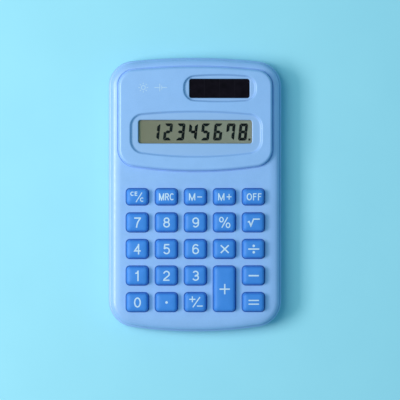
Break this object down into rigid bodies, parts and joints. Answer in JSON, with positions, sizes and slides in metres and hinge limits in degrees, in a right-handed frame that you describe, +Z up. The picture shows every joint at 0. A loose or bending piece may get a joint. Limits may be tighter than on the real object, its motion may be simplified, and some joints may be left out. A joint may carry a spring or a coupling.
{
  "type": "desk calculator",
  "caption": "Pocket-size desk calculator with a light blue case, a wide display under a window, a small solar cell and a keypad of sprung keys, one of them tall.",
  "frame": {"origin": "bottom centre of the bounding box: on the table, under the middle of the case", "axes": "+Z up out of the key face, +Y along the length to the display end, +X to the right as the keys are read"},
  "size_m": [0.071, 0.1126, 0.0134],
  "materials": {
    "shell_blue": "satin",
    "key_blue": "satin",
    "window_clear": "clear",
    "lcd_glass": "clear",
    "lcd_reflector": "matte",
    "white_plastic": "matte",
    "conductive_rubber": "matte",
    "solar_black": "polished",
    "foam_black": "matte",
    "wire_red": "satin",
    "wire_black": "satin",
    "cell_steel": "satin",
    "contact_brass": "satin",
    "board_green": "satin",
    "carbon_black": "matte",
    "epoxy_black": "satin",
    "capacitor_blue": "gloss",
    "led_red": "gloss",
    "resistor_tan": "satin",
    "membrane_rubber": "matte",
    "screw_steel": "satin",
    "foot_rubber": "matte"
  },
  "bodies": {
    "case": {"front_case": "shell_blue", "back_case": "shell_blue", "battery_cover": "shell_blue", "case_screws": "screw_steel", "board_screws": "screw_steel", "battery_cover_screw": "screw_steel", "rubber_feet": "foot_rubber", "display_window": "window_clear", "lcd_front_polarizer": "lcd_glass", "lcd_front_glass": "lcd_glass", "lcd_rear_glass": "lcd_glass", "lcd_reflector": "lcd_reflector", "lcd_holder": "white_plastic", "zebra_connector": "conductive_rubber", "solar_cell": "solar_black", "solar_foam_pad": "foam_black", "solar_wire_red": "wire_red", "solar_wire_black": "wire_black", "button_cell": "cell_steel", "battery_contact_positive": "contact_brass", "battery_contact_negative": "contact_brass", "battery_wire_red": "wire_red", "battery_wire_black": "wire_black", "circuit_board": "board_green", "contact_pads": "carbon_black", "chip_blob": "epoxy_black", "capacitor": "capacitor_blue", "regulator_led": "led_red", "resistors": "resistor_tan", "keypad_membrane": "membrane_rubber"},
    "key_clear_body": {"key_clear": "key_blue"},
    "key_memory_recall_body": {"key_memory_recall": "key_blue"},
    "key_memory_minus_body": {"key_memory_minus": "key_blue"},
    "key_memory_plus_body": {"key_memory_plus": "key_blue"},
    "key_off_body": {"key_off": "key_blue"},
    "key_7_body": {"key_7": "key_blue"},
    "key_8_body": {"key_8": "key_blue"},
    "key_9_body": {"key_9": "key_blue"},
    "key_percent_body": {"key_percent": "key_blue"},
    "key_root_body": {"key_root": "key_blue"},
    "key_4_body": {"key_4": "key_blue"},
    "key_5_body": {"key_5": "key_blue"},
    "key_6_body": {"key_6": "key_blue"},
    "key_multiply_body": {"key_multiply": "key_blue"},
    "key_divide_body": {"key_divide": "key_blue"},
    "key_1_body": {"key_1": "key_blue"},
    "key_2_body": {"key_2": "key_blue"},
    "key_3_body": {"key_3": "key_blue"},
    "key_plus_body": {"key_plus": "key_blue"},
    "key_minus_body": {"key_minus": "key_blue"},
    "key_0_body": {"key_0": "key_blue"},
    "key_decimal_body": {"key_decimal": "key_blue"},
    "key_sign_body": {"key_sign": "key_blue"},
    "key_equals_body": {"key_equals": "key_blue"}
  },
  "joints": [
    {"name": "key_clear_press", "type": "slide", "parent": "case", "child": "key_clear_body", "axis": [0, 0, -1], "range_m": [0, 0.0008], "stiffness_N_per_m": 800, "deforming": ["keypad_membrane"]},
    {"name": "key_memory_recall_press", "type": "slide", "parent": "case", "child": "key_memory_recall_body", "axis": [0, 0, -1], "range_m": [0, 0.0008], "stiffness_N_per_m": 800, "deforming": ["keypad_membrane"]},
    {"name": "key_memory_minus_press", "type": "slide", "parent": "case", "child": "key_memory_minus_body", "axis": [0, 0, -1], "range_m": [0, 0.0008], "stiffness_N_per_m": 800, "deforming": ["keypad_membrane"]},
    {"name": "key_memory_plus_press", "type": "slide", "parent": "case", "child": "key_memory_plus_body", "axis": [0, 0, -1], "range_m": [0, 0.0008], "stiffness_N_per_m": 800, "deforming": ["keypad_membrane"]},
    {"name": "key_off_press", "type": "slide", "parent": "case", "child": "key_off_body", "axis": [0, 0, -1], "range_m": [0, 0.0008], "stiffness_N_per_m": 800, "deforming": ["keypad_membrane"]},
    {"name": "key_7_press", "type": "slide", "parent": "case", "child": "key_7_body", "axis": [0, 0, -1], "range_m": [0, 0.0008], "stiffness_N_per_m": 800, "deforming": ["keypad_membrane"]},
    {"name": "key_8_press", "type": "slide", "parent": "case", "child": "key_8_body", "axis": [0, 0, -1], "range_m": [0, 0.0008], "stiffness_N_per_m": 800, "deforming": ["keypad_membrane"]},
    {"name": "key_9_press", "type": "slide", "parent": "case", "child": "key_9_body", "axis": [0, 0, -1], "range_m": [0, 0.0008], "stiffness_N_per_m": 800, "deforming": ["keypad_membrane"]},
    {"name": "key_percent_press", "type": "slide", "parent": "case", "child": "key_percent_body", "axis": [0, 0, -1], "range_m": [0, 0.0008], "stiffness_N_per_m": 800, "deforming": ["keypad_membrane"]},
    {"name": "key_root_press", "type": "slide", "parent": "case", "child": "key_root_body", "axis": [0, 0, -1], "range_m": [0, 0.0008], "stiffness_N_per_m": 800, "deforming": ["keypad_membrane"]},
    {"name": "key_4_press", "type": "slide", "parent": "case", "child": "key_4_body", "axis": [0, 0, -1], "range_m": [0, 0.0008], "stiffness_N_per_m": 800, "deforming": ["keypad_membrane"]},
    {"name": "key_5_press", "type": "slide", "parent": "case", "child": "key_5_body", "axis": [0, 0, -1], "range_m": [0, 0.0008], "stiffness_N_per_m": 800, "deforming": ["keypad_membrane"]},
    {"name": "key_6_press", "type": "slide", "parent": "case", "child": "key_6_body", "axis": [0, 0, -1], "range_m": [0, 0.0008], "stiffness_N_per_m": 800, "deforming": ["keypad_membrane"]},
    {"name": "key_multiply_press", "type": "slide", "parent": "case", "child": "key_multiply_body", "axis": [0, 0, -1], "range_m": [0, 0.0008], "stiffness_N_per_m": 800, "deforming": ["keypad_membrane"]},
    {"name": "key_divide_press", "type": "slide", "parent": "case", "child": "key_divide_body", "axis": [0, 0, -1], "range_m": [0, 0.0008], "stiffness_N_per_m": 800, "deforming": ["keypad_membrane"]},
    {"name": "key_1_press", "type": "slide", "parent": "case", "child": "key_1_body", "axis": [0, 0, -1], "range_m": [0, 0.0008], "stiffness_N_per_m": 800, "deforming": ["keypad_membrane"]},
    {"name": "key_2_press", "type": "slide", "parent": "case", "child": "key_2_body", "axis": [0, 0, -1], "range_m": [0, 0.0008], "stiffness_N_per_m": 800, "deforming": ["keypad_membrane"]},
    {"name": "key_3_press", "type": "slide", "parent": "case", "child": "key_3_body", "axis": [0, 0, -1], "range_m": [0, 0.0008], "stiffness_N_per_m": 800, "deforming": ["keypad_membrane"]},
    {"name": "key_plus_press", "type": "slide", "parent": "case", "child": "key_plus_body", "axis": [0, 0, -1], "range_m": [0, 0.0008], "stiffness_N_per_m": 800, "deforming": ["keypad_membrane"]},
    {"name": "key_minus_press", "type": "slide", "parent": "case", "child": "key_minus_body", "axis": [0, 0, -1], "range_m": [0, 0.0008], "stiffness_N_per_m": 800, "deforming": ["keypad_membrane"]},
    {"name": "key_0_press", "type": "slide", "parent": "case", "child": "key_0_body", "axis": [0, 0, -1], "range_m": [0, 0.0008], "stiffness_N_per_m": 800, "deforming": ["keypad_membrane"]},
    {"name": "key_decimal_press", "type": "slide", "parent": "case", "child": "key_decimal_body", "axis": [0, 0, -1], "range_m": [0, 0.0008], "stiffness_N_per_m": 800, "deforming": ["keypad_membrane"]},
    {"name": "key_sign_press", "type": "slide", "parent": "case", "child": "key_sign_body", "axis": [0, 0, -1], "range_m": [0, 0.0008], "stiffness_N_per_m": 800, "deforming": ["keypad_membrane"]},
    {"name": "key_equals_press", "type": "slide", "parent": "case", "child": "key_equals_body", "axis": [0, 0, -1], "range_m": [0, 0.0008], "stiffness_N_per_m": 800, "deforming": ["keypad_membrane"]}
  ]
}
